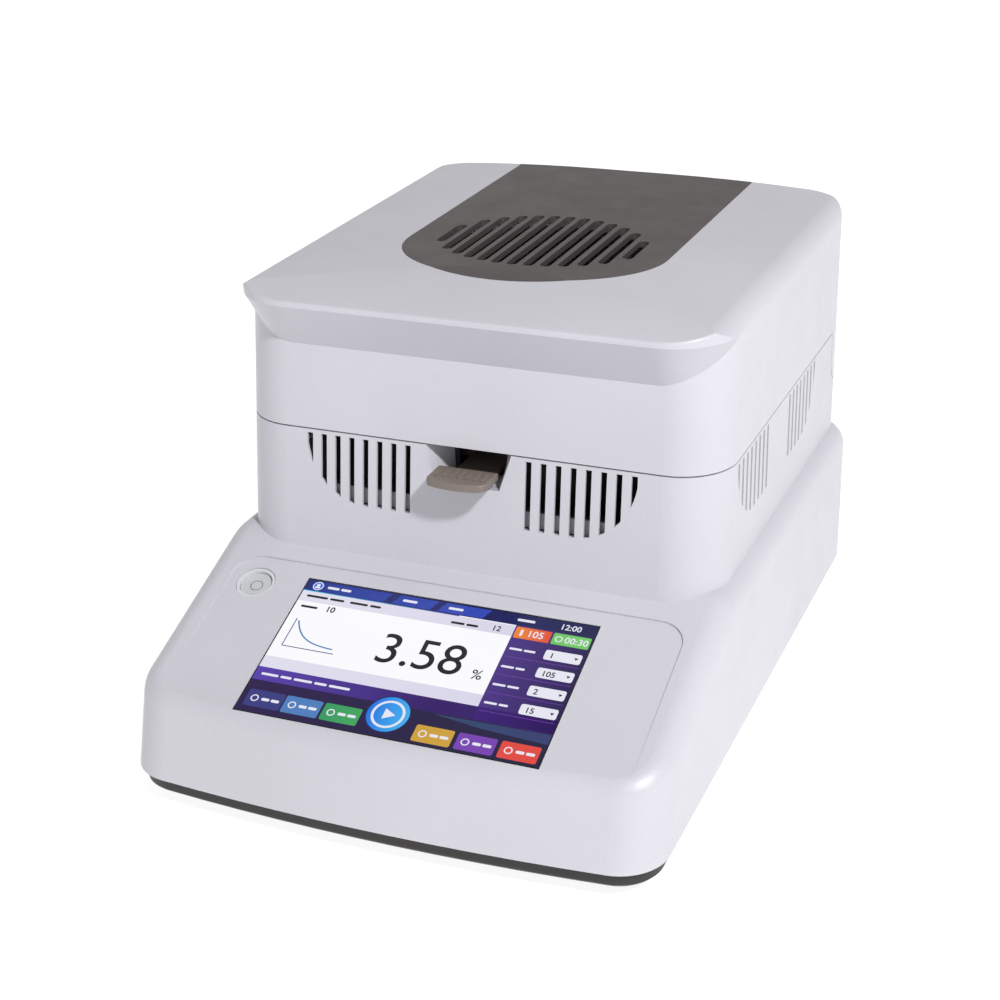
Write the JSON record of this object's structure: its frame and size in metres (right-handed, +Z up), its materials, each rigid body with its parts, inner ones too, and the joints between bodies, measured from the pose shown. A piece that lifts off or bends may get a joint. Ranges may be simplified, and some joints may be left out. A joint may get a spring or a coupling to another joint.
{
  "type": "moisture analyzer",
  "caption": "Benchtop moisture analyzer: sloped touch display, weighing pan in a heated chamber, lamp lid on a rear hinge, pan lifter tab and levelling feet.",
  "frame": {"origin": "centre of the footprint, on the surface that the feet stand on", "axes": "+X to the user's right, +Y to the rear, +Z up"},
  "size_m": [0.21, 0.298, 0.1806],
  "materials": {
    "white_plastic": "satin moulded",
    "dark_plastic": "fine texture",
    "grille_plastic": "satin",
    "handler_plastic": "satin",
    "level_plastic": "moulded",
    "black_plastic": "moulded",
    "black_metal": "matt paint",
    "board": "lacquered",
    "steel_sheet": "brushed",
    "aluminium": "satin",
    "ceramic_white": "bisque",
    "clear_glass": "polished",
    "rubber": "matt"
  },
  "bodies": {
    "base": {"main_housing": "white_plastic", "bottom_tray": "dark_plastic", "tray_screws": "steel_sheet", "display_lens": "clear_glass", "display_module": "black_plastic", "level_cup": "level_plastic", "level_vial": "clear_glass", "chamber_deck": "steel_sheet", "chamber_wall": "black_metal", "draft_shield": "steel_sheet", "pan_support": "steel_sheet", "weighing_cell": "aluminium", "cell_mount": "aluminium", "cell_screws": "steel_sheet", "main_board": "board", "power_supply": "board", "fan_frame": "black_plastic", "fan_guard": "steel_sheet", "fan_screws": "steel_sheet", "power_inlet": "black_plastic", "switch_body": "black_plastic", "serial_port": "steel_sheet", "usb_port": "steel_sheet", "hinge_brackets": "steel_sheet"},
    "lid": {"lid_cover": "white_plastic", "lid_grille": "grille_plastic", "hinge_shaft": "steel_sheet", "heat_shield": "steel_sheet", "reflector": "aluminium", "halogen_lamp": "clear_glass", "lamp_socket": "ceramic_white", "lamp_clips": "steel_sheet", "lamp_glass": "clear_glass", "glass_ring": "steel_sheet", "temp_sensor": "steel_sheet", "lid_screws": "steel_sheet"},
    "handler": {"pan_handler": "handler_plastic"},
    "pan": {"sample_pan": "aluminium"},
    "fan": {"fan_rotor": "black_plastic"},
    "rocker": {"switch_rocker": "black_plastic"},
    "drawer": {"fuse_drawer": "black_plastic", "fuses": "clear_glass"},
    "foot_front_left": {"foot_wheel_front_left": "dark_plastic", "foot_pad_front_left": "rubber"},
    "foot_front_right": {"foot_wheel_front_right": "dark_plastic", "foot_pad_front_right": "rubber"},
    "foot_rear_left": {"foot_wheel_rear_left": "dark_plastic", "foot_pad_rear_left": "rubber"},
    "foot_rear_right": {"foot_wheel_rear_right": "dark_plastic", "foot_pad_rear_right": "rubber"}
  },
  "joints": [
    {"name": "lid_hinge", "type": "hinge", "parent": "base", "child": "lid", "pos_m": [0, 0.136, 0.109], "axis": [-1, 0, 0], "range_deg": [0, 80]},
    {"name": "handler_lift", "type": "slide", "parent": "base", "child": "handler", "axis": [0, 0, 1], "range_m": [0, 0.0055]},
    {"name": "pan_lift", "type": "slide", "parent": "base", "child": "pan", "axis": [0, 0, 1], "range_m": [0, 0.0055]},
    {"name": "fan_spin", "type": "hinge", "parent": "base", "child": "fan", "pos_m": [0.048, 0.14, 0.052], "axis": [0, 1, 0], "continuous": true},
    {"name": "rocker_tilt", "type": "hinge", "parent": "base", "child": "rocker", "pos_m": [-0.028, 0.1435, 0.044], "axis": [1, 0, 0], "range_deg": [0, 9]},
    {"name": "drawer_slide", "type": "slide", "parent": "base", "child": "drawer", "axis": [0, 1, 0], "range_m": [0, 0.018]},
    {"name": "level_front_left", "type": "slide", "parent": "base", "child": "foot_front_left", "axis": [0, 0, -1], "range_m": [0, 0.004]},
    {"name": "level_front_right", "type": "slide", "parent": "base", "child": "foot_front_right", "axis": [0, 0, -1], "range_m": [0, 0.004]},
    {"name": "level_rear_left", "type": "slide", "parent": "base", "child": "foot_rear_left", "axis": [0, 0, -1], "range_m": [0, 0.004]},
    {"name": "level_rear_right", "type": "slide", "parent": "base", "child": "foot_rear_right", "axis": [0, 0, -1], "range_m": [0, 0.004]}
  ],
  "couplings": [
    {"joint": "pan_lift", "follows": "handler_lift", "ratio": 1}
  ]
}
